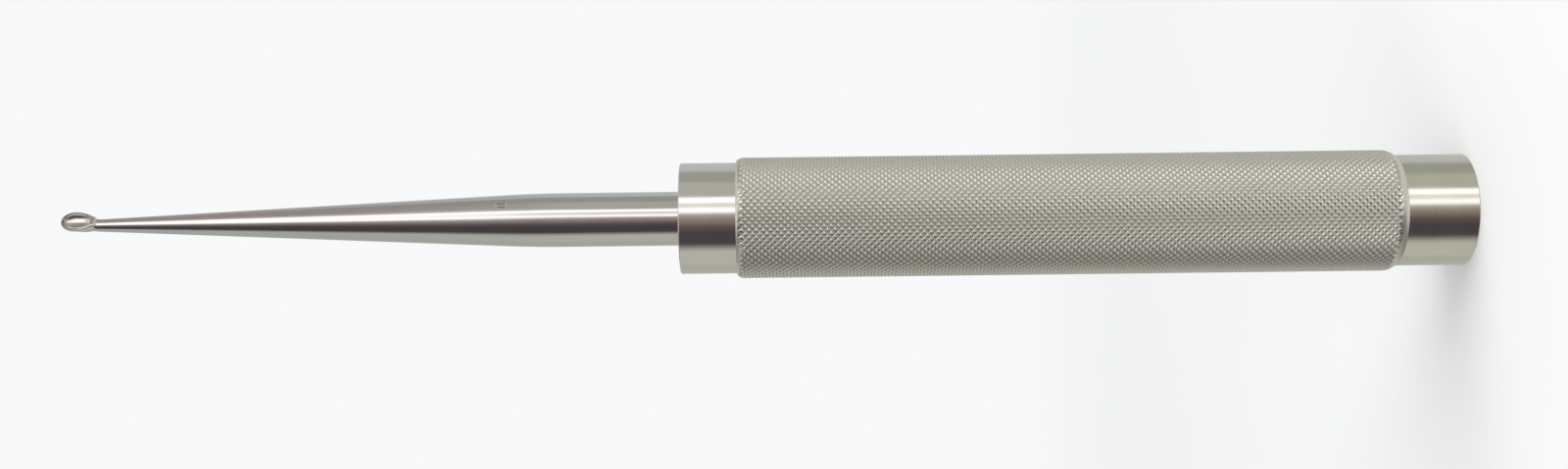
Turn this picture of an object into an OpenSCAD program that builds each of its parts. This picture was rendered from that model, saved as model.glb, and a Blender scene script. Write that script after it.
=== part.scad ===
// Straight spinal bone curette with a hollow knurled handle.
// It stands on the flat rear face of the handle, with the shank along +Z.
// The cup at the top opens towards -Y.

/* [Handle] */
// Diameter over the crests of the knurl
barrel_d = 24.2; // [22:0.1:30]
// Length of the knurled barrel, with both shoulders
barrel_len = 131.2; // [90:0.1:160]
// Wall of the barrel, from its bore to the crests
barrel_wall = 1.8; // [1.6:0.1:3]
// Height of the rounded shoulders above the collars
shoulder_step = 1; // [0.6:0.1:1]
// Length of the rounded shoulder behind the front collar
front_shoulder_len = 1.3; // [1:0.1:3]
// Length of the rounded shoulder in front of the end cap
rear_shoulder_len = 2.2; // [1:0.1:3]
// Exposed length of the front collar
front_collar_len = 11.2; // [6:0.1:20]
// Exposed length of the end cap
end_cap_len = 13.8; // [6:0.1:20]
// Length of the spigots that close the barrel
spigot_len = 10; // [5:0.5:20]
// Chamfer on the outer rims of the front collar and the end cap
rim_chamfer = 0.15; // [0.05:0.05:1]
// Chamfer on the hidden ends of the spigots and the tang
lead_in = 0.5; // [0.2:0.1:1]

/* [Knurl] */
// Number of grooves of each hand round the barrel
knurl_starts = 28; // [16:4:32]
// Number of diamonds in a row along the barrel
knurl_rows = 46; // [20:1:50]
// Depth of the grooves below the crests
knurl_depth = 0.45; // [0.2:0.05:0.6]

/* [Shank] */
// Diameter of the straight part of the shank
shank_d = 10.8; // [9:0.1:13]
// Length of the straight part of the shank, from the front collar
shank_len = 29; // [10:1:60]
// Length of the taper, from the straight part to the neck
taper_len = 87.1; // [40:0.1:120]
// Length of the rounded change from straight to taper
blend_len = 12; // [4:1:16]
// Diameter of the neck, behind the cup
neck_d = 2.5; // [2:0.1:3]
// Diameter of the tang that is held in the front collar
tang_d = 8; // [5:0.5:8]
// Length of tang that stands out behind the front spigot
tang_proud = 1; // [0.5:0.5:5]

/* [Cup] */
// Length of the rim of the cup, from tip to heel
cup_len = 6.5; // [5.5:0.1:9]
// Width across the rim
cup_w = 4.2; // [4:0.1:6]
// Depth of the cup outside, from the rim to its back
cup_depth = 2.2; // [1.9:0.05:2.6]
// Height of the rim in front of the axis of the shank
rim_h = 1.7; // [1.6:0.05:2.4]
// Length of the flare from the neck to the heel of the rim
flare_len = 1.2; // [1:0.1:3]
// Wall of the cup at its sides and its tip
cup_wall = 0.25; // [0.2:0.05:0.6]
// Wall of the cup at its heel
heel_wall = 0.5; // [0.4:0.05:1]
// Thickness of the floor of the cup
cup_floor = 0.85; // [0.3:0.05:1]

/* [Size mark] */
// Distance of the stamped figure from the front collar
mark_pos = 35.5; // [5:0.5:60]
// Length of the figure along the shank
mark_len = 2.5; // [1.5:0.1:4]
// Width of the figure
mark_w = 1.1; // [0.9:0.1:1.5]
// Width of its stroke
mark_stroke = 0.3; // [0.1:0.05:0.4]
// Depth of the stamping
mark_depth = 0.2; // [0.1:0.05:0.4]

/* [Hidden] */

// Radial clearance of the pressed and brazed fits
fit_gap = 0.03;
// Length by which one form runs on inside another
overrun = 0.5;
round_fn = 96;

// Levels along the axis, from the rear face up
barrel_z = end_cap_len;
front_z = barrel_z + barrel_len;
shank_z = front_z + front_collar_len;
taper_z = shank_z + shank_len;
neck_z = taper_z + taper_len;
tip_z = neck_z + flare_len + cup_len;

// Radii
crest_r = barrel_d / 2;
groove_r = crest_r - knurl_depth;
collar_r = crest_r - shoulder_step;
bore_r = crest_r - barrel_wall;
spigot_r = bore_r - fit_gap;
tang_r = tang_d / 2;
shank_r = shank_d / 2;
neck_r = neck_d / 2;

// Skin over a row of rings, each with the same number of points, closed by a point at each end.
// From above the rings turn anticlockwise, and each next ring is higher.
module loft(foot, rings, head) {
    sides = len(rings[0]);
    last = len(rings) - 1;
    foot_i = (last + 1) * sides;
    bottom = [for (j = [0:sides - 1]) [foot_i, j, (j + 1) % sides]];
    top = [for (j = [0:sides - 1]) [foot_i + 1, last * sides + (j + 1) % sides, last * sides + j]];
    walls = [
        for (i = [0:last - 1])
            for (j = [0:sides - 1])
                let (k = (j + 1) % sides, a = i * sides, b = a + sides)
                each (i + j) % 2 == 0
                    ? [[a + j, b + j, a + k], [b + j, b + k, a + k]]
                    : [[a + j, b + j, b + k], [a + j, b + k, a + k]]
    ];
    points = concat([for (ring = rings) each ring], [foot, head]);
    polyhedron(points = points, faces = concat(bottom, walls, top), convexity = 8);
}

// A ring of alternating crests and groove crossings; its neighbours stand half a diamond further round.
function knurl_ring(z, shift) = [
    for (j = [0:2 * knurl_starts - 1])
        let (r = (j + shift) % 2 == 0 ? crest_r : groove_r, a = 180 * j / knurl_starts)
        [r * cos(a), r * sin(a), z]
];
function plain_ring(z) = [
    for (j = [0:2 * knurl_starts - 1])
        let (a = 180 * j / knurl_starts)
        [groove_r * cos(a), groove_r * sin(a), z]
];

// Diamonds between two families of crossing V grooves
module knurl() {
    knurl_z = barrel_z + rear_shoulder_len;
    knurl_len = barrel_len - rear_shoulder_len - front_shoulder_len;
    steps = 2 * knurl_rows;
    foot_z = knurl_z - overrun / 2;
    head_z = knurl_z + knurl_len + overrun / 2;
    loft([0, 0, foot_z], concat(
        [plain_ring(foot_z)],
        [for (i = [1:steps - 1]) knurl_ring(knurl_z + knurl_len * i / steps, i)],
        [plain_ring(head_z)]
    ), [0, 0, head_z]);
}

// Smooth shoulder whose rounded edge rises from the collar's diameter to the crests
module shoulder(length) {
    round_r = (pow(length, 2) + pow(shoulder_step, 2)) / (2 * shoulder_step);
    rotate_extrude($fn = round_fn)
        intersection() {
            square([crest_r, length]);
            union() {
                square([crest_r - round_r, length]);
                translate([crest_r - round_r, length]) circle(r = round_r, $fn = round_fn);
            }
        }
}

module grip_barrel() {
    color("darkgray")
        difference() {
            union() {
                knurl();
                translate([0, 0, barrel_z]) shoulder(rear_shoulder_len);
                translate([0, 0, front_z]) mirror([0, 0, 1]) shoulder(front_shoulder_len);
            }
            translate([0, 0, barrel_z - overrun])
                cylinder(r = bore_r, h = barrel_len + 2 * overrun, $fn = round_fn);
        }
}

// Collar from its chamfered outer rim at z = 0 up to its seat, and the spigot beyond
module plug(collar_len) {
    rotate_extrude($fn = round_fn)
        polygon([
            [0, 0],
            [collar_r - rim_chamfer, 0],
            [collar_r, rim_chamfer],
            [collar_r, collar_len],
            [spigot_r, collar_len],
            [spigot_r, collar_len + spigot_len - lead_in],
            [spigot_r - lead_in, collar_len + spigot_len],
            [0, collar_len + spigot_len]
        ]);
}

module end_cap() {
    color("silver") plug(end_cap_len);
}

module front_collar() {
    color("silver")
        translate([0, 0, shank_z])
            mirror([0, 0, 1])
                difference() {
                    plug(front_collar_len);
                    translate([0, 0, -overrun])
                        cylinder(r = tang_r + fit_gap, h = front_collar_len + spigot_len + 2 * overrun, $fn = round_fn);
                }
}

// Radius of the shank at a height z: straight, then a parabola that touches both parts, then the taper
taper_slope = (shank_r - neck_r) / taper_len;
blend_steps = 8;
function shank_radius(z) =
    let (s = z - taper_z, half = blend_len / 2)
    s < -half ? shank_r
    : s < half ? shank_r - taper_slope * pow(s + half, 2) / (2 * blend_len)
    : shank_r - taper_slope * s;

module shank_body() {
    tang_z = front_z - spigot_len - tang_proud;
    rotate_extrude($fn = round_fn)
        polygon(concat(
            [[0, tang_z], [tang_r - lead_in, tang_z], [tang_r, tang_z + lead_in]],
            [[tang_r, shank_z], [shank_r, shank_z]],
            [
                for (i = [0:blend_steps])
                    let (z = taper_z + blend_len * (i / blend_steps - 1 / 2))
                    [shank_radius(z), z]
            ],
            [[neck_r, neck_z], [0, neck_z]]
        ));
}

// The cup is worked out from t, the distance from its tip. Its rim is an egg, fuller at the tip.
belly = 0.38;
tip_power = 2.15;
heel_power = 2.4;
// Its back is blunter at the tip than the rim, and the bowl keeps its depth almost to both ends
back_power = 2.4;
floor_power = 3;
belly_t = belly * cup_len;
neck_t = cup_len + flare_len;

function oval(s, power) = pow(max(0, 1 - pow(abs(s), power)), 1 / power);
function egg(t, length, tip = tip_power, heel = heel_power) =
    let (widest = belly * length)
    t < widest ? oval(1 - t / widest, tip) : oval((t - widest) / (length - widest), heel);
function ease(s) = let (c = min(1, max(0, s))) c * c * (3 - 2 * c);
function mix(a, b, s) = a + (b - a) * s;
function soft_max(a, b, k) = (a + b + sqrt(pow(a - b, 2) + k * k)) / 2;

// Share of the way from the widest place of the cup to the neck
function along(t) = (t - belly_t) / (neck_t - belly_t);
// The forged blank: half width, and how far its back, its rim and its widest line lie behind the axis
root_r = neck_r - 0.01;
function blank_w(t) =
    t < belly_t ? cup_w / 2 * egg(t, cup_len)
    : soft_max(cup_w / 2 * egg(t, cup_len), root_r, 0.5 * max(0, neck_t - t) / neck_t);
function blank_back(t) =
    t < belly_t ? cup_depth * egg(t, cup_len, back_power) - rim_h
    : mix(cup_depth - rim_h, root_r, ease(along(t)));
function blank_rim(t) =
    t < cup_len ? -rim_h
    : -mix(root_r, rim_h, pow(max(0, neck_t - t) / flare_len, 2));
function blank_axis(t) = mix(-rim_h, 0, ease(along(t)));
// Squareness of the front of the blank: flat at the rim, round at the neck
function blank_power(t) = mix(10, 2, ease(along(t)));

cup_sides = 24;
function blank_ring(t) =
    let (w = blank_w(t), back = blank_back(t), rim = blank_rim(t), axis = blank_axis(t), q = 2 / blank_power(t))
    [
        for (j = [0:cup_sides - 1])
            let (a = 360 * j / cup_sides, c = cos(a), s = sin(a))
            s > -0.001
                ? [w * c, mix(axis, back, s), tip_z - t]
                : [w * sign(c) * pow(abs(c), q), mix(axis, rim, pow(-s, q)), tip_z - t]
    ];

module blank() {
    tip_steps = 9;
    heel_steps = 10;
    root_t = neck_t + overrun;
    loft([0, 0, tip_z - root_t], concat(
        [blank_ring(root_t)],
        [for (i = [heel_steps:-1:1]) blank_ring(mix(belly_t, neck_t, i / heel_steps))],
        [for (i = [tip_steps:-1:0]) blank_ring(belly_t * (1 - cos(mix(4, 90, i / tip_steps))))]
    ), [0, -rim_h, tip_z]);
}

// The bowl, cut down from above the rim: straight walls, then half an oval to the floor
bowl_sides = 24;
module bowl() {
    length = cup_len - cup_wall - heel_wall;
    half_w = cup_w / 2 - cup_wall;
    depth = cup_depth - cup_floor;
    steps = 13;
    bowl_z = tip_z - cup_wall;
    loft([0, -rim_h, bowl_z - length], [
        for (i = [steps:-1:0])
            let (
                t = length * (1 - cos(mix(5, 175, i / steps))) / 2,
                share = egg(t, length),
                deep = depth * egg(t, length, floor_power, floor_power)
            )
            [
                for (j = [0:bowl_sides - 1])
                    let (a = 360 * j / bowl_sides, c = cos(a), s = sin(a))
                    [
                        half_w * share * (s > -0.001 ? c : sign(c) * pow(abs(c), 0.2)),
                        -rim_h + (s > -0.001 ? deep * s : -overrun * pow(-s, 0.2)),
                        bowl_z - t
                    ]
            ]
    ], [0, -rim_h, bowl_z]);
}

// The size figure: a round-ended ring
module stadium(length, width) {
    square([width, length - width], center = true);
    for (end = [-1, 1])
        translate([0, end * (length - width) / 2]) circle(d = width, $fn = 48);
}

module size_mark() {
    z = shank_z + mark_pos;
    translate([0, mark_depth - shank_radius(z), z])
        rotate([90, 0, 0])
            linear_extrude(height = 1)
                difference() {
                    stadium(mark_len, mark_w);
                    stadium(mark_len - 2 * mark_stroke, mark_w - 2 * mark_stroke);
                }
}

module curette_shank() {
    color("gainsboro")
        difference() {
            union() {
                shank_body();
                blank();
            }
            bowl();
            size_mark();
        }
}

end_cap();
grip_barrel();
front_collar();
curette_shank();
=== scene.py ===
import math

import bmesh
import bpy
from mathutils import Matrix, Vector


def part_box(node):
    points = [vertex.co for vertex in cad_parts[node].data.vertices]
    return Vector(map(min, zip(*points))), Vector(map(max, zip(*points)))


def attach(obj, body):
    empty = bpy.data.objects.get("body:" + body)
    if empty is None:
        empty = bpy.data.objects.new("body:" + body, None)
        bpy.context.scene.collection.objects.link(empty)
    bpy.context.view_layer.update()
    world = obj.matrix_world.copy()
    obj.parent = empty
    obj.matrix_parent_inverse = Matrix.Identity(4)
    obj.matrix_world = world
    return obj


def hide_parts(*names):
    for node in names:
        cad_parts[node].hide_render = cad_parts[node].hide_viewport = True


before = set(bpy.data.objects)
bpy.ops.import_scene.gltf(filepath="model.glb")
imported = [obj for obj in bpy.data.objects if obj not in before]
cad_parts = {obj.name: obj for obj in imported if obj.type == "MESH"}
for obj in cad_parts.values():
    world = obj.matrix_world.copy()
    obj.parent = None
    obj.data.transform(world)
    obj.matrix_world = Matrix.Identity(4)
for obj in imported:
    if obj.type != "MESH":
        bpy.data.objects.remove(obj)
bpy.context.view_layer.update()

MM = 0.001

# ---- sizes that the frame gives, in metres
cap_low, cap_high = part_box("end_cap")
barrel_low, barrel_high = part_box("grip_barrel")
collar_low, collar_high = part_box("front_collar")
shank_low, shank_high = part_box("curette_shank")

CREST_R = barrel_high.x
COLLAR_R = collar_high.x
SHANK_R = shank_high.x
BARREL_Z0 = barrel_low.z
BARREL_Z1 = barrel_high.z
SHANK_Z = collar_high.z
TIP_Z = shank_high.z

# ---- sizes that follow the part's source
BORE_R = CREST_R - 1.8 * MM
SHANK_LEN = 29 * MM
TAPER_LEN = 87.1 * MM
BLEND_LEN = 12 * MM
NECK_R = 1.25 * MM
TANG_R = 4 * MM
TANG_DEPTH = 11 * MM
LEAD_IN = 0.5 * MM
CUP_LEN = 6.5 * MM
CUP_W = 4.2 * MM
CUP_DEPTH = 2.2 * MM
RIM_H = 1.7 * MM
FLARE_LEN = 1.2 * MM
CUP_WALL = 0.25 * MM
HEEL_WALL = 0.5 * MM
CUP_FLOOR = 0.85 * MM
BELLY = 0.38
TIP_POWER = 2.15
HEEL_POWER = 2.4
BACK_POWER = 2.4
FLOOR_POWER = 3.0
MARK_POS = 35.5 * MM
MARK_LEN = 2.5 * MM
MARK_W = 1.1 * MM
MARK_STROKE = 0.3 * MM
MARK_DEPTH = 0.2 * MM

# ---- the full count of the knurl, as the photograph shows it
KNURL_STARTS = 52
KNURL_RINGS = 186
KNURL_DEPTH = 0.34 * MM
GROOVE_R = CREST_R - KNURL_DEPTH
# the grooves deepen over this length from each bare edge
KNURL_RUN_IN = 0.9 * MM
KNURL_FLAT = 0.3
# how far the crests are rounded, as the tilt of their surface at each corner
KNURL_ROUNDING = math.radians(16)
# the grooves of one hand are shallower between their crossings, by this share of the depth
KNURL_SADDLE = 0.45

# ---- the camera: almost square to the axis, with the cup to the left of the picture
CAM_TURN = math.radians(31.2)
CAM_DIST = 373.7 * MM
CAM_Z = 135.1 * MM
CAM_SIDE = -31.4 * MM
CAM_PAN = 0.0013
CAM_TILT = -0.0747
CAM_ROLL = -0.0118
CAM_FOV = 2 * math.atan(800 / 1908.5)

TO_CAMERA = Vector((-math.sin(CAM_TURN), -math.cos(CAM_TURN), 0))
PICTURE_UP = Vector((math.cos(CAM_TURN), -math.sin(CAM_TURN), 0))


# ---------------------------------------------------------------- helpers
def linear(value):
    """The linear light of a value between 0 and 1 as a screen shows it."""
    return value / 12.92 if value <= 0.04045 else ((value + 0.055) / 1.055) ** 2.4


def shown(r, g, b):
    return (linear(r), linear(g), linear(b), 1.0)


def new_object(name, mesh):
    obj = bpy.data.objects.new(name, mesh)
    bpy.context.scene.collection.objects.link(obj)
    return obj


def mesh_from(name, points, faces):
    mesh = bpy.data.meshes.new(name)
    mesh.from_pydata(points, [], faces)
    mesh.validate()
    mesh.update()
    return mesh


def loft(name, foot, rings, head):
    """Closed skin over rings of equal count, with a point at each end; each next ring is higher."""
    sides = len(rings[0])
    points = [p for ring in rings for p in ring] + [foot, head]
    foot_i = len(points) - 2
    head_i = len(points) - 1
    top = (len(rings) - 1) * sides
    faces = [(foot_i, (j + 1) % sides, j) for j in range(sides)]
    for i in range(len(rings) - 1):
        a = i * sides
        b = a + sides
        for j in range(sides):
            k = (j + 1) % sides
            faces.append((a + j, a + k, b + k, b + j))
    faces += [(head_i, top + j, top + (j + 1) % sides) for j in range(sides)]
    return mesh_from(name, points, faces)


def mix(a, b, s):
    return a + (b - a) * s


def circle_ring(radius, z, sides):
    step = 2 * math.pi / sides
    return [(radius * math.cos(step * j), radius * math.sin(step * j), z) for j in range(sides)]


def smooth_by_angle(mesh, degrees):
    mesh.polygons.foreach_set("use_smooth", [True] * len(mesh.polygons))
    mesh.set_sharp_from_angle(angle=math.radians(degrees))
    mesh.update()


def cut(obj, tool):
    """Takes the tool's solid out of obj, and then the tool itself."""
    boolean = obj.modifiers.new("cut", "BOOLEAN")
    boolean.operation = "DIFFERENCE"
    boolean.solver = "EXACT"
    boolean.object = tool
    bpy.context.view_layer.update()
    graph = bpy.context.evaluated_depsgraph_get()
    result = bpy.data.meshes.new_from_object(obj.evaluated_get(graph))
    obj.modifiers.clear()
    old = obj.data
    obj.data = result
    bpy.data.meshes.remove(old)
    bpy.data.objects.remove(tool)


def weld(mesh, distance):
    """Joins points that lie closer than the distance, so no sliver is left of a cut."""
    bm = bmesh.new()
    bm.from_mesh(mesh)
    bmesh.ops.remove_doubles(bm, verts=bm.verts, dist=distance)
    bmesh.ops.dissolve_degenerate(bm, edges=bm.edges, dist=distance)
    bm.to_mesh(mesh)
    bm.free()


# ---------------------------------------------------------------- materials
class Nodes:
    """Short calls for building one material's tree."""

    def __init__(self, name):
        self.material = bpy.data.materials.new(name)
        self.material.use_nodes = True
        self.tree = self.material.node_tree
        self.shader = self.tree.nodes["Principled BSDF"]
        self.coords = self.add("ShaderNodeTexCoord").outputs["Object"]

    def add(self, kind, **settings):
        node = self.tree.nodes.new(kind)
        for key, value in settings.items():
            setattr(node, key, value)
        return node

    def link(self, source, target):
        self.tree.links.new(source, target)

    def math(self, operation, a, b=0.0, clamp=False):
        node = self.add("ShaderNodeMath", operation=operation, use_clamp=clamp)
        for socket, value in zip(node.inputs, (a, b)):
            if isinstance(value, (int, float)):
                socket.default_value = value
            else:
                self.link(value, socket)
        return node.outputs[0]

    def scaled(self, x, y, z):
        """Object coordinates times a scale, in features per metre."""
        node = self.add("ShaderNodeMapping")
        node.inputs["Scale"].default_value = (x, y, z)
        self.link(self.coords, node.inputs["Vector"])
        return node.outputs["Vector"]

    def noise(self, vector, detail=2.0, roughness=0.5, scale=1.0):
        node = self.add("ShaderNodeTexNoise")
        node.inputs["Scale"].default_value = scale
        node.inputs["Detail"].default_value = detail
        node.inputs["Roughness"].default_value = roughness
        self.link(vector, node.inputs["Vector"])
        return node.outputs["Fac"]

    def ranged(self, value, from_low, from_high, to_low, to_high):
        node = self.add("ShaderNodeMapRange")
        self.link(value, node.inputs["Value"])
        for key, number in (("From Min", from_low), ("From Max", from_high), ("To Min", to_low), ("To Max", to_high)):
            node.inputs[key].default_value = number
        return node.outputs["Result"]

    def ramp(self, value, stops):
        node = self.add("ShaderNodeValToRGB")
        elements = node.color_ramp.elements
        while len(elements) < len(stops):
            elements.new(0.5)
        for element, (position, colour) in zip(elements, stops):
            element.position = position
            element.color = colour
        self.link(value, node.inputs["Fac"])
        return node.outputs["Color"]

    def bump(self, height, strength, distance):
        node = self.add("ShaderNodeBump")
        node.inputs["Strength"].default_value = strength
        node.inputs["Distance"].default_value = distance
        self.link(height, node.inputs["Height"])
        self.link(node.outputs["Normal"], self.shader.inputs["Normal"])


POLISHED = (0.80, 0.785, 0.765, 1.0)


def polished_steel():
    """Mirror-polished shank: faint marks along the axis, and a very fine haze."""
    n = Nodes("shank_steel_polished")
    n.shader.inputs["Metallic"].default_value = 1.0
    along = n.noise(n.scaled(2600, 2600, 60), detail=3.0)
    haze = n.noise(n.scaled(140, 140, 90), detail=4.0, roughness=0.6)
    tone = n.math("ADD", n.math("MULTIPLY", along, 0.35), n.math("MULTIPLY", haze, 0.65))
    n.link(n.ramp(tone, [(0.35, (0.68, 0.668, 0.655, 1)), (0.65, (0.73, 0.718, 0.705, 1))]), n.shader.inputs["Base Color"])
    n.link(n.ranged(tone, 0.35, 0.65, 0.07, 0.13), n.shader.inputs["Roughness"])
    n.bump(along, 0.12, 0.00002)
    return n.material


def turned_steel(name, smoothest, roughest, blue):
    """Collars with the faint rings of turning; a lower share of blue is a warmer steel."""
    n = Nodes(name)
    n.shader.inputs["Metallic"].default_value = 1.0
    rings = n.noise(n.scaled(12, 12, 3800), detail=3.0, roughness=0.6)
    haze = n.noise(n.scaled(160, 160, 160), detail=4.0, roughness=0.6)
    tone = n.math("ADD", n.math("MULTIPLY", rings, 0.5), n.math("MULTIPLY", haze, 0.5))
    n.link(n.ramp(tone, [(0.35, (0.74, 0.725, blue, 1)), (0.65, (0.81, 0.795, 1.1 * blue, 1))]), n.shader.inputs["Base Color"])
    n.link(n.ranged(tone, 0.35, 0.65, smoothest, roughest), n.shader.inputs["Roughness"])
    n.bump(rings, 0.2, 0.00002)
    return n.material


def knurled_steel():
    """Satin flanks of the diamonds and the smooth shoulders, with painted shade: darker down in the grooves."""
    n = Nodes("knurled_steel_satin_painted_groove_shade")
    n.shader.inputs["Metallic"].default_value = 1.0
    split = n.add("ShaderNodeSeparateXYZ")
    n.link(n.coords, split.inputs[0])
    square = n.math("ADD", n.math("POWER", split.outputs["X"], 2.0), n.math("POWER", split.outputs["Y"], 2.0))
    radius = n.math("SQRT", square)
    # painted shade: the base colour darkens from the crests down into the grooves, where the hollows are in shade
    height = n.ranged(radius, GROOVE_R, CREST_R - 0.1 * KNURL_DEPTH, 0.0, 1.0)
    grain = n.noise(n.scaled(3000, 3000, 3000), detail=3.0, roughness=0.6)
    patches = n.noise(n.scaled(90, 90, 60), detail=3.0)
    tone = n.math("ADD", n.math("MULTIPLY", height, 0.7), n.math("MULTIPLY", patches, 0.3))
    n.link(n.ramp(tone, [(0.1, (0.70, 0.695, 0.645, 1)), (0.85, (0.86, 0.855, 0.80, 1))]), n.shader.inputs["Base Color"])
    n.link(n.ranged(grain, 0.3, 0.7, 0.32, 0.42), n.shader.inputs["Roughness"])
    n.bump(grain, 0.25, 0.00003)
    return n.material


def crest_steel():
    """Crests of the diamonds, polished by hands."""
    n = Nodes("knurled_steel_crests")
    n.shader.inputs["Metallic"].default_value = 1.0
    patches = n.noise(n.scaled(220, 220, 220), detail=3.0)
    n.link(n.ramp(patches, [(0.3, (0.78, 0.77, 0.73, 1)), (0.7, (0.88, 0.87, 0.83, 1))]), n.shader.inputs["Base Color"])
    n.link(n.ranged(patches, 0.3, 0.7, 0.22, 0.12), n.shader.inputs["Roughness"])
    return n.material


def shoulder_steel():
    """The bare ends of the barrel: pale satin with the rings of turning."""
    n = Nodes("shoulder_steel_satin")
    n.shader.inputs["Metallic"].default_value = 1.0
    rings = n.noise(n.scaled(20, 20, 5000), detail=3.0, roughness=0.6)
    n.link(n.ramp(rings, [(0.3, (0.88, 0.87, 0.84, 1)), (0.7, (0.96, 0.95, 0.92, 1))]), n.shader.inputs["Base Color"])
    n.link(n.ranged(rings, 0.3, 0.7, 0.30, 0.42), n.shader.inputs["Roughness"])
    return n.material


def assign(obj, *materials):
    """One material to every slot of a node, or the given ones to the slots of a new piece."""
    if not obj.material_slots:
        for material in materials:
            obj.data.materials.append(material)
    elif len(materials) == 1:
        for slot in obj.material_slots:
            slot.material = materials[0]


# ---------------------------------------------------------------- the knurled barrel
class Shoulder:
    """Rounded end of the barrel: an arc that ends a given step below the crests."""

    def __init__(self, end_z, inward, length, step, bare):
        self.end_z = end_z
        self.inward = inward
        self.length = length
        self.bare = bare
        self.round_r = (length ** 2 + step ** 2) / (2 * step)
        self.knurl_z = end_z + inward * bare

    def top_r(self, z):
        """Radius of the crests at a height."""
        depth = max(0.0, self.length - (z - self.end_z) * self.inward)
        return CREST_R - self.round_r + math.sqrt(self.round_r ** 2 - depth ** 2)

    def depth_share(self, z):
        """The grooves deepen from nothing, where the bare edge ends, to their full depth."""
        return min(1.0, max(0.0, (z - self.knurl_z) * self.inward / KNURL_RUN_IN))

    def smooth_rings(self, steps):
        """Radius and height from where the knurl ends to the bore."""
        line = []
        for s in range(1, steps + 1):
            z = self.end_z + self.inward * self.bare * (1 - s / steps)
            line.append((self.top_r(z), z))
        return line + [(BORE_R, self.end_z)]


REAR_SHOULDER = Shoulder(BARREL_Z0, 1, 2.5 * MM, 0.95 * MM, 1.35 * MM)
FRONT_SHOULDER = Shoulder(BARREL_Z1, -1, 1.5 * MM, 0.7 * MM, 0.4 * MM)


def top_radius(z):
    return min(REAR_SHOULDER.top_r(z), FRONT_SHOULDER.top_r(z))


def groove_radius(z):
    share = min(REAR_SHOULDER.depth_share(z), FRONT_SHOULDER.depth_share(z))
    return min(top_radius(z), max(GROOVE_R, top_radius(z) - KNURL_DEPTH * share))


def round_crests(mesh, crests):
    """Gives each flat crest the shading of a rounded one, and the second material."""
    normals = [corner.vector.copy() for corner in mesh.corner_normals]
    up = Vector((0, 0, 1))
    for face, angle in crests:
        polygon = mesh.polygons[face]
        polygon.material_index = 1
        out = Vector((math.cos(angle), math.sin(angle), 0))
        side = Vector((-math.sin(angle), math.cos(angle), 0))
        for corner, lean in zip(polygon.loop_indices, (-side, -up, side, up)):
            normals[corner] = out * math.cos(KNURL_ROUNDING) + lean * math.sin(KNURL_ROUNDING)
    mesh.normals_split_custom_set(normals)


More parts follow.
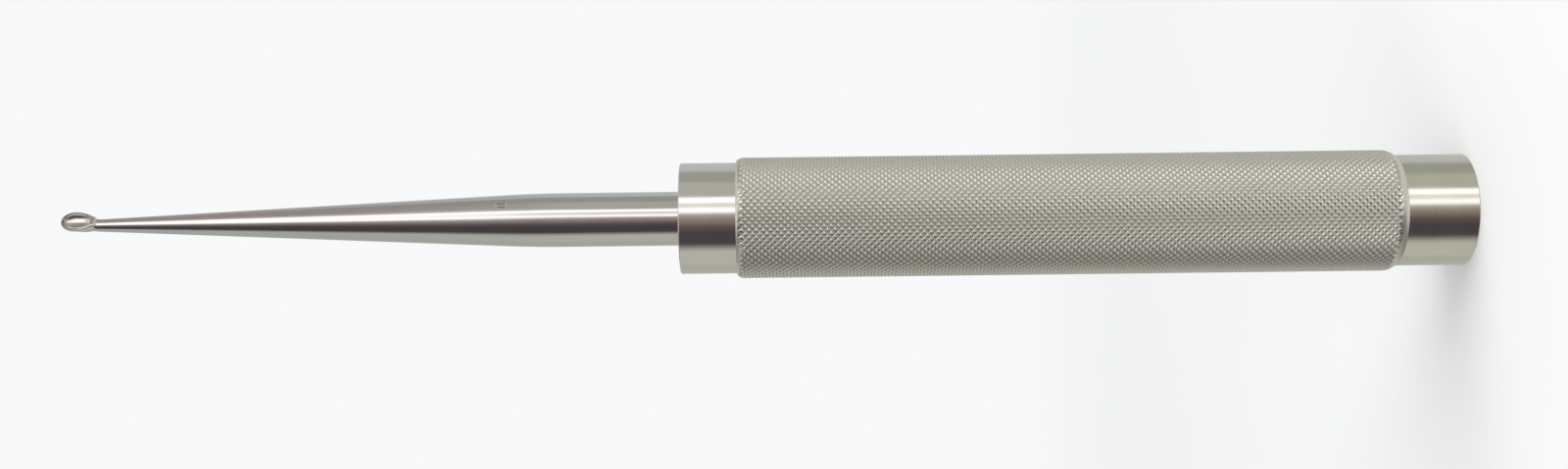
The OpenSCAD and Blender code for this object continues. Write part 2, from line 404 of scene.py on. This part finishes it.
def barrel_piece():
    """The barrel at its full count of diamonds; the grooves run out on the rounded shoulders."""
    columns = 2 * KNURL_STARTS
    z0 = REAR_SHOULDER.knurl_z
    z1 = FRONT_SHOULDER.knurl_z
    ring_step = (z1 - z0) / KNURL_RINGS
    turn = math.pi / KNURL_STARTS
    points = []
    faces = []
    crests = []

    def add(radius, place, z):
        points.append((radius * math.cos(turn * place), radius * math.sin(turn * place), z))
        return len(points) - 1

    # groove crossings, on every second place of a chequered grid
    grid = {}
    for i in range(KNURL_RINGS + 1):
        z = z0 + ring_step * i
        for j in range(columns):
            if (i + j) % 2 == 0 or i in (0, KNURL_RINGS):
                grid[i, j] = add(groove_radius(z), j, z)

    # the saddles: the middle of each shallower groove, between two crossings
    saddle = {}
    for i in range(KNURL_RINGS):
        z = z0 + ring_step * (i + 0.5)
        for j in range(columns):
            if (i + j) % 2 == 0:
                saddle[i, j] = add(mix(groove_radius(z), top_radius(z), KNURL_SADDLE), j + 0.5, z)

    # a diamond round each other place, up to a flat top that is wider where the shoulder cuts it lower
    for i in range(1, KNURL_RINGS):
        z = z0 + ring_step * i
        height = (top_radius(z) - groove_radius(z)) / KNURL_DEPTH
        flat = 1 - max(0.1, height) * (1 - KNURL_FLAT)
        high = z + ring_step * flat
        low = z - ring_step * flat
        for j in range(columns):
            if (i + j) % 2 == 0:
                continue
            west, east = grid[i, (j - 1) % columns], grid[i, (j + 1) % columns]
            south, north = grid[i - 1, j], grid[i + 1, j]
            south_east, north_west = saddle[i - 1, j], saddle[i, (j - 1) % columns]
            tw, te = add(top_radius(z), j - flat, z), add(top_radius(z), j + flat, z)
            tn, ts = add(top_radius(high), j, high), add(top_radius(low), j, low)
            crests.append((len(faces), turn * j))
            faces.append((tw, ts, te, tn))
            faces.append((west, south, ts, tw))
            faces.append((east, north, tn, te))
            faces.append((south, south_east, ts))
            faces.append((south_east, te, ts))
            faces.append((south_east, east, te))
            faces.append((north, north_west, tn))
            faces.append((north_west, tw, tn))
            faces.append((north_west, west, tw))

    # half diamonds close the grid at both ends
    last = KNURL_RINGS
    for j in range(columns):
        before, after = (j - 1) % columns, (j + 1) % columns
        if j % 2 == 1:
            faces.append((grid[0, before], grid[0, j], saddle[0, before]))
            faces.append((grid[0, j], grid[0, after], grid[1, j]))
            faces.append((grid[0, j], grid[1, j], saddle[0, before]))
        if (last + j) % 2 == 1:
            faces.append((grid[last, j], grid[last, before], grid[last - 1, j]))
            faces.append((grid[last, after], grid[last, j], saddle[last - 1, j]))
            faces.append((grid[last, j], grid[last - 1, j], saddle[last - 1, j]))

    # the smooth shoulders, the end faces and the bore
    def belt(ring_a, ring_b, flip):
        for j in range(columns):
            k = (j + 1) % columns
            quad = (ring_a[j], ring_a[k], ring_b[k], ring_b[j])
            faces.append(tuple(reversed(quad)) if flip else quad)

    inner_rings = []
    bare_from = len(faces)
    for i, shoulder, flip in ((0, REAR_SHOULDER, True), (last, FRONT_SHOULDER, False)):
        previous = [grid[i, j] for j in range(columns)]
        for radius, z in shoulder.smooth_rings(6):
            ring = [add(radius, j, z) for j in range(columns)]
            belt(previous, ring, flip)
            previous = ring
        inner_rings.append(previous)
    bare_to = len(faces)
    belt(inner_rings[1], inner_rings[0], False)

    mesh = mesh_from("barrel_knurled", points, faces)
    smooth_by_angle(mesh, 18)
    round_crests(mesh, crests)
    for face in range(bare_from, bare_to):
        mesh.polygons[face].material_index = 2
    return new_object("barrel_knurled", mesh)


# ---------------------------------------------------------------- the shank and its cup
NECK_Z = TIP_Z - CUP_LEN - FLARE_LEN
TAPER_Z = SHANK_Z + SHANK_LEN
TAPER_SLOPE = (SHANK_R - NECK_R) / TAPER_LEN
BELLY_T = BELLY * CUP_LEN
NECK_T = CUP_LEN + FLARE_LEN
# the flat land behind the bowl ends in an edge, where the round neck starts
HEEL_EDGE = CUP_LEN - 0.15 * MM
HEEL_RUN = 0.3 * MM


def ease(s):
    c = min(1.0, max(0.0, s))
    return c * c * (3 - 2 * c)


def shank_radius(z):
    s = z - TAPER_Z
    half = BLEND_LEN / 2
    if s < -half:
        return SHANK_R
    if s < half:
        return SHANK_R - TAPER_SLOPE * (s + half) ** 2 / (2 * BLEND_LEN)
    return SHANK_R - TAPER_SLOPE * s


def oval(s, power):
    return max(0.0, 1 - abs(s) ** power) ** (1 / power)


def egg(t, length, tip=TIP_POWER, heel=HEEL_POWER):
    widest = BELLY * length
    if t < widest:
        return oval(1 - t / widest, tip)
    return oval((t - widest) / (length - widest), heel)


def soft_max(a, b, k):
    return (a + b + math.sqrt((a - b) ** 2 + k * k)) / 2


def along(t):
    return (t - BELLY_T) / (NECK_T - BELLY_T)


def cup_ring(t, sides):
    """One ring of the forged blank at the distance t from the tip."""
    share = egg(t, CUP_LEN) if t < CUP_LEN else 0.0
    if t < BELLY_T:
        width = CUP_W / 2 * share
        back = CUP_DEPTH * egg(t, CUP_LEN, BACK_POWER) - RIM_H
    else:
        width = soft_max(CUP_W / 2 * share, NECK_R, 0.5 * MM * max(0.0, NECK_T - t) / NECK_T)
        back = mix(CUP_DEPTH - RIM_H, NECK_R, ease(along(t)))
    rim = -mix(RIM_H, NECK_R, ease((t - HEEL_EDGE) / (2 * HEEL_RUN)))
    axis = mix(-RIM_H, 0.0, ease(along(t)))
    squareness = mix(mix(10.0, 5.0, ease(along(t))), 2.0, ease((t - HEEL_EDGE) / HEEL_RUN))
    q = 2 / squareness
    ring = []
    for j in range(sides):
        a = 2 * math.pi * j / sides
        c = math.cos(a)
        s = math.sin(a)
        if s > -1e-6:
            ring.append((width * c, mix(axis, back, s), TIP_Z - t))
        else:
            ring.append((width * math.copysign(abs(c) ** q, c), mix(axis, rim, (-s) ** q), TIP_Z - t))
    return ring


def shank_piece():
    """Shank and cup in one skin, with the bowl and the size figure cut into it."""
    sides = 128
    rings = []
    tang_z = BARREL_Z1 - TANG_DEPTH
    rings.append(circle_ring(TANG_R - LEAD_IN, tang_z, sides))
    rings.append(circle_ring(TANG_R, tang_z + LEAD_IN, sides))
    rings.append(circle_ring(TANG_R, SHANK_Z, sides))
    rings.append(circle_ring(SHANK_R, SHANK_Z, sides))
    straight_end = TAPER_Z - BLEND_LEN / 2
    steps = 6
    for i in range(1, steps + 1):
        rings.append(circle_ring(SHANK_R, mix(SHANK_Z, straight_end, i / steps), sides))
    steps = 24
    for i in range(1, steps + 1):
        z = straight_end + BLEND_LEN * i / steps
        rings.append(circle_ring(shank_radius(z), z, sides))
    steps = 20
    for i in range(1, steps):
        z = mix(TAPER_Z + BLEND_LEN / 2, NECK_Z, i / steps)
        rings.append(circle_ring(shank_radius(z), z, sides))
    heel_steps = 60
    for i in range(heel_steps, 0, -1):
        rings.append(cup_ring(mix(BELLY_T, NECK_T, i / heel_steps), sides))
    tip_steps = 36
    for i in range(tip_steps, -1, -1):
        a = math.radians(mix(3, 90, i / tip_steps))
        rings.append(cup_ring(BELLY_T * (1 - math.cos(a)), sides))
    mesh = loft("shank_and_cup", (0, 0, tang_z), rings, (0, -RIM_H, TIP_Z))
    obj = new_object("shank_and_cup", mesh)
    cut(obj, bowl_tool())
    cut(obj, mark_tool())
    weld(obj.data, 0.002 * MM)
    smooth_by_angle(obj.data, 28)
    return obj


def bowl_tool():
    length = CUP_LEN - CUP_WALL - HEEL_WALL
    half_w = CUP_W / 2 - CUP_WALL
    depth = CUP_DEPTH - CUP_FLOOR
    above = 0.5 * MM
    bowl_z = TIP_Z - CUP_WALL
    steps = 60
    sides = 96
    rings = []
    for i in range(steps, -1, -1):
        a = math.radians(mix(3, 177, i / steps))
        t = length * (1 - math.cos(a)) / 2
        share = egg(t, length)
        deep = depth * egg(t, length, FLOOR_POWER, FLOOR_POWER)
        ring = []
        for j in range(sides):
            b = 2 * math.pi * j / sides
            c = math.cos(b)
            s = math.sin(b)
            if s > -1e-6:
                ring.append((half_w * share * c, -RIM_H + deep * s, bowl_z - t))
            else:
                x = half_w * share * math.copysign(abs(c) ** 0.2, c)
                ring.append((x, -RIM_H - above * (-s) ** 0.2, bowl_z - t))
        rings.append(ring)
    mesh = loft("bowl_tool", (0, -RIM_H, bowl_z - length), rings, (0, -RIM_H, bowl_z))
    return new_object("bowl_tool", mesh)


def mark_tool():
    """Stamp of the size figure: a round-ended ring."""
    sides = 32

    def outline(length, width):
        line = []
        for end in (1, -1):
            for i in range(sides + 1):
                a = math.pi * i / sides + (0 if end > 0 else math.pi)
                line.append((width / 2 * math.cos(a), end * (length - width) / 2 + width / 2 * math.sin(a)))
        return line

    outer = outline(MARK_LEN, MARK_W)
    inner = outline(MARK_LEN - 2 * MARK_STROKE, MARK_W - 2 * MARK_STROKE)
    z = SHANK_Z + MARK_POS
    low_y = MARK_DEPTH - shank_radius(z)
    high_y = low_y - 1 * MM
    count = len(outer)
    points = []
    for y in (low_y, high_y):
        for line in (outer, inner):
            points += [(px, y, z + pz) for px, pz in line]
    faces = []
    for i in range(count):
        k = (i + 1) % count
        lo, li, ho, hi = i, count + i, 2 * count + i, 3 * count + i
        lo2, li2, ho2, hi2 = k, count + k, 2 * count + k, 3 * count + k
        faces.append((lo, lo2, li2, li))
        faces.append((ho, hi, hi2, ho2))
        faces.append((lo, ho, ho2, lo2))
        faces.append((li, li2, hi2, hi))
    mesh = mesh_from("mark_tool", points, faces)
    bm = bmesh.new()
    bm.from_mesh(mesh)
    bmesh.ops.remove_doubles(bm, verts=bm.verts, dist=1e-7)
    bmesh.ops.recalc_face_normals(bm, faces=bm.faces)
    bm.to_mesh(mesh)
    bm.free()
    return new_object("mark_tool", mesh)


# ---------------------------------------------------------------- the object
front_steel = turned_steel("collar_steel_polished", 0.09, 0.15, 0.70)
rear_steel = turned_steel("collar_steel_turned", 0.12, 0.20, 0.64)
assign(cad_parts["front_collar"], front_steel)
assign(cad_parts["end_cap"], rear_steel)
assign(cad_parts["grip_barrel"], rear_steel)
assign(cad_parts["curette_shank"], front_steel)

barrel = barrel_piece()
assign(barrel, knurled_steel(), crest_steel(), shoulder_steel())
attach(barrel, "root")
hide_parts("grip_barrel")

shank = shank_piece()
assign(shank, polished_steel())
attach(shank, "root")
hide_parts("curette_shank")


# ---------------------------------------------------------------- the studio
BACKGROUND = (0.94, 0.945, 0.955, 1.0)


def studio_world():
    world = bpy.data.worlds.new("studio_world")
    bpy.context.scene.world = world
    world.use_nodes = True
    tree = world.node_tree
    tree.nodes.clear()
    out = tree.nodes.new("ShaderNodeOutputWorld")
    path = tree.nodes.new("ShaderNodeLightPath")
    seen = tree.nodes.new("ShaderNodeMath")
    seen.operation = "MAXIMUM"
    seen_all = tree.nodes.new("ShaderNodeMath")
    seen_all.operation = "MAXIMUM"
    tree.links.new(path.outputs["Is Camera Ray"], seen.inputs[0])
    tree.links.new(path.outputs["Is Glossy Ray"], seen.inputs[1])
    tree.links.new(seen.outputs[0], seen_all.inputs[0])
    tree.links.new(path.outputs["Is Transmission Ray"], seen_all.inputs[1])
    soft = tree.nodes.new("ShaderNodeBackground")
    soft.inputs["Color"].default_value = (1, 1, 1, 1)
    soft.inputs["Strength"].default_value = 0.75
    pale = tree.nodes.new("ShaderNodeBackground")
    pale.inputs["Color"].default_value = BACKGROUND
    pale.inputs["Strength"].default_value = 1.0
    mixer = tree.nodes.new("ShaderNodeMixShader")
    tree.links.new(seen_all.outputs[0], mixer.inputs["Fac"])
    tree.links.new(soft.outputs[0], mixer.inputs[1])
    tree.links.new(pale.outputs[0], mixer.inputs[2])
    tree.links.new(mixer.outputs[0], out.inputs["Surface"])


# What the steel mirrors: a tall band round the object, out of the camera's sight, with plain panels.
# A panel goes from one angle to another, in degrees from the camera's side towards the picture's top,
# and has the tone that polished steel then shows.
PANELS = [
    (-180, -116, (0.66, 0.66, 0.62)),
    (-108, -72, (0.70, 0.69, 0.65)),
    (-54, -30, (0.27, 0.25, 0.26)),
    (-18, -16, (0.36, 0.31, 0.31)),
    (-7, -3, (0.51, 0.45, 0.43)),
    (5, 8, (0.62, 0.59, 0.56)),
    (14, 20, (1.05, 1.05, 1.05)),
    (24, 31, (0.87, 0.83, 0.80)),
    (34, 41, (1.10, 1.10, 1.10)),
    (46, 77, (0.67, 0.66, 0.62)),
    (84, 110, (0.59, 0.59, 0.56)),
    (118, 180, (0.70, 0.71, 0.70)),
]
# The same a little further up, where the taper and the cup mirror it.
TAPER_PANELS = [
    (-180, -72, (0.65, 0.66, 0.64)),
    (-56, -30, (0.27, 0.25, 0.25)),
    (-18, -16, (0.37, 0.33, 0.33)),
    (-7, -3, (0.53, 0.49, 0.48)),
    (2, 4, (0.68, 0.65, 0.63)),
    (11, 42, (1.08, 1.06, 1.05)),
    (50, 54, (0.72, 0.69, 0.67)),
    (62, 110, (0.59, 0.55, 0.54)),
    (118, 180, (0.64, 0.62, 0.61)),
]
# The same far up and far down the band, where only steep surfaces mirror it.
FRONT_PANELS = [
    (-180, -62, (0.50, 0.48, 0.45)),
    (-54, -16, (0.42, 0.39, 0.39)),
    (-4, 46, (0.84, 0.83, 0.79)),
    (54, 180, (0.72, 0.71, 0.66)),
]
REAR_PANELS = [
    (-180, -62, (0.48, 0.46, 0.43)),
    (-54, -16, (0.40, 0.37, 0.37)),
    (-4, 46, (0.66, 0.65, 0.61)),
    (54, 180, (0.72, 0.71, 0.66)),
]
BAND_R = 2.5
BAND_LOW = -8.0
BAND_HIGH = 9.0
# the heights, in metres, between which each set of panels takes the place of the one before
BAND_PARTS = [
    (0.5, 1.1, TAPER_PANELS),
    (1.7, 2.4, FRONT_PANELS),
    (-1.6, -2.4, REAR_PANELS),
]
SIGHT = math.atan2(CAM_SIDE, CAM_DIST)


def steel_glow(colour):
    """The light that polished steel mirrors as this colour."""
    return [linear(c) / steel for c, steel in zip(colour, POLISHED)] + [1.0]


def panel_ramp(tree, angle, panels):
    ramp = tree.nodes.new("ShaderNodeValToRGB")
    elements = ramp.color_ramp.elements
    stops = [(degrees, colour) for start, end, colour in panels for degrees in (start, end)]
    while len(elements) < len(stops):
        elements.new(0.5)
    for element, (degrees, colour) in zip(elements, stops):
        element.position = 0.5 + degrees / 360
        element.color = steel_glow(colour)
    tree.links.new(angle, ramp.inputs["Fac"])
    return ramp.outputs["Color"]


def band_material():
    material = bpy.data.materials.new("studio_band")
    material.use_nodes = True
    tree = material.node_tree
    tree.nodes.clear()
    coords = tree.nodes.new("ShaderNodeTexCoord")
    turned = tree.nodes.new("ShaderNodeMapping")
    turned.inputs["Rotation"].default_value[2] = math.pi / 2 + CAM_TURN - SIGHT
    tree.links.new(coords.outputs["Object"], turned.inputs["Vector"])
    gradient = tree.nodes.new("ShaderNodeTexGradient")
    gradient.gradient_type = "RADIAL"
    tree.links.new(turned.outputs["Vector"], gradient.inputs["Vector"])
    split = tree.nodes.new("ShaderNodeSeparateXYZ")
    tree.links.new(coords.outputs["Object"], split.inputs[0])
    colour = panel_ramp(tree, gradient.outputs["Fac"], PANELS)
    for z_from, z_to, panels in BAND_PARTS:
        steep = tree.nodes.new("ShaderNodeMapRange")
        steep.inputs["From Min"].default_value = z_from
        steep.inputs["From Max"].default_value = z_to
        tree.links.new(split.outputs["Z"], steep.inputs["Value"])
        blend = tree.nodes.new("ShaderNodeMix")
        blend.data_type = "RGBA"
        tree.links.new(steep.outputs["Result"], blend.inputs["Factor"])
        tree.links.new(colour, blend.inputs["A"])
        tree.links.new(panel_ramp(tree, gradient.outputs["Fac"], panels), blend.inputs["B"])
        colour = blend.outputs["Result"]
    glow = tree.nodes.new("ShaderNodeEmission")
    out = tree.nodes.new("ShaderNodeOutputMaterial")
    tree.links.new(colour, glow.inputs["Color"])
    tree.links.new(glow.outputs[0], out.inputs["Surface"])
    return material


def hide_from_all_but_gloss(obj):
    obj.visible_camera = False
    obj.visible_diffuse = False
    obj.visible_shadow = False


def glow_material(name, colour):
    material = bpy.data.materials.new(name)
    material.use_nodes = True
    tree = material.node_tree
    tree.nodes.clear()
    glow = tree.nodes.new("ShaderNodeEmission")
    glow.inputs["Color"].default_value = steel_glow(colour)
    out = tree.nodes.new("ShaderNodeOutputMaterial")
    tree.links.new(glow.outputs[0], out.inputs["Surface"])
    return material


def end_disc(name, z, colour):
    """A disc across one end of the band, which only steep flanks of the knurl mirror."""
    mesh = bpy.data.meshes.new(name)
    bm = bmesh.new()
    bmesh.ops.create_circle(bm, cap_ends=True, segments=64, radius=BAND_R)
    bmesh.ops.translate(bm, verts=bm.verts, vec=(0, 0, z))
    bm.to_mesh(mesh)
    bm.free()
    disc = new_object(name, mesh)
    assign(disc, glow_material(name, colour))
    hide_from_all_but_gloss(disc)


def studio_band():
    count = 96
    points = []
    for j in range(count):
        a = 2 * math.pi * j / count
        points.append((BAND_R * math.cos(a), BAND_R * math.sin(a), BAND_LOW))
        points.append((BAND_R * math.cos(a), BAND_R * math.sin(a), BAND_HIGH))
    faces = []
    for j in range(count):
        a = 2 * j
        b = 2 * ((j + 1) % count)
        faces.append((a, b, b + 1, a + 1))
    band = new_object("studio_band", mesh_from("studio_band", points, faces))
    assign(band, band_material())
    hide_from_all_but_gloss(band)


def studio_floor():
    mesh = bpy.data.meshes.new("floor")
    bm = bmesh.new()
    bmesh.ops.create_circle(bm, cap_ends=True, segments=96, radius=1.6)
    bm.to_mesh(mesh)
    bm.free()
    floor = new_object("floor", mesh)
    material = bpy.data.materials.new("floor_pale")
    material.use_nodes = True
    tree = material.node_tree
    tree.nodes.clear()
    out = tree.nodes.new("ShaderNodeOutputMaterial")
    diffuse = tree.nodes.new("ShaderNodeBsdfDiffuse")
    diffuse.inputs["Color"].default_value = (0.765, 0.77, 0.775, 1)
    clear = tree.nodes.new("ShaderNodeBsdfTransparent")
    coords = tree.nodes.new("ShaderNodeTexCoord")
    length = tree.nodes.new("ShaderNodeVectorMath")
    length.operation = "LENGTH"
    tree.links.new(coords.outputs["Object"], length.inputs[0])
    fade = tree.nodes.new("ShaderNodeMapRange")
    fade.interpolation_type = "SMOOTHSTEP"
    fade.inputs["From Min"].default_value = 0.12
    fade.inputs["From Max"].default_value = 0.75
    tree.links.new(length.outputs["Value"], fade.inputs["Value"])
    mixer = tree.nodes.new("ShaderNodeMixShader")
    tree.links.new(fade.outputs["Result"], mixer.inputs["Fac"])
    tree.links.new(diffuse.outputs[0], mixer.inputs[1])
    tree.links.new(clear.outputs[0], mixer.inputs[2])
    tree.links.new(mixer.outputs[0], out.inputs["Surface"])
    floor.data.materials.append(material)
    floor.visible_glossy = False


def area_lamp(name, place, target, size, power):
    light = bpy.data.lights.new(name, "AREA")
    light.shape = "DISK"
    light.size = size
    light.energy = power
    lamp = bpy.data.objects.new(name, light)
    bpy.context.scene.collection.objects.link(lamp)
    lamp.location = place
    lamp.rotation_euler = (Vector(target) - Vector(place)).to_track_quat("-Z", "Y").to_euler()
    lamp.visible_glossy = False
    return lamp


def camera():
    data = bpy.data.cameras.new("camera")
    data.sensor_fit = "HORIZONTAL"
    data.angle = CAM_FOV
    data.clip_start = 0.01
    cam = bpy.data.objects.new("camera", data)
    bpy.context.scene.collection.objects.link(cam)
    axis = Vector((0, 0, 1))
    aim = Matrix.Rotation(CAM_PAN, 3, PICTURE_UP) @ Matrix.Rotation(CAM_TILT, 3, axis)
    back = aim @ TO_CAMERA
    spin = Matrix.Rotation(CAM_ROLL, 3, back)
    right = spin @ aim @ -axis
    up = spin @ aim @ PICTURE_UP
    turn = Matrix((right, up, back)).transposed()
    place = TO_CAMERA * CAM_DIST + PICTURE_UP * CAM_SIDE + axis * CAM_Z
    cam.matrix_world = Matrix.Translation(place) @ turn.to_4x4()
    bpy.context.scene.camera = cam


studio_world()
studio_band()
end_disc("studio_rear_end", BAND_LOW, (0.85, 0.84, 0.80))
end_disc("studio_front_end", BAND_HIGH, (0.80, 0.79, 0.74))
studio_floor()
area_lamp("lamp_key", (0.5, -0.6, 1.1), (0, 0, 0), 1.2, 9.0)
area_lamp("lamp_fill", (-0.9, -0.5, 0.9), (0, 0, 0), 1.4, 6.0)
camera()
bpy.context.scene.view_settings.view_transform = "Standard"
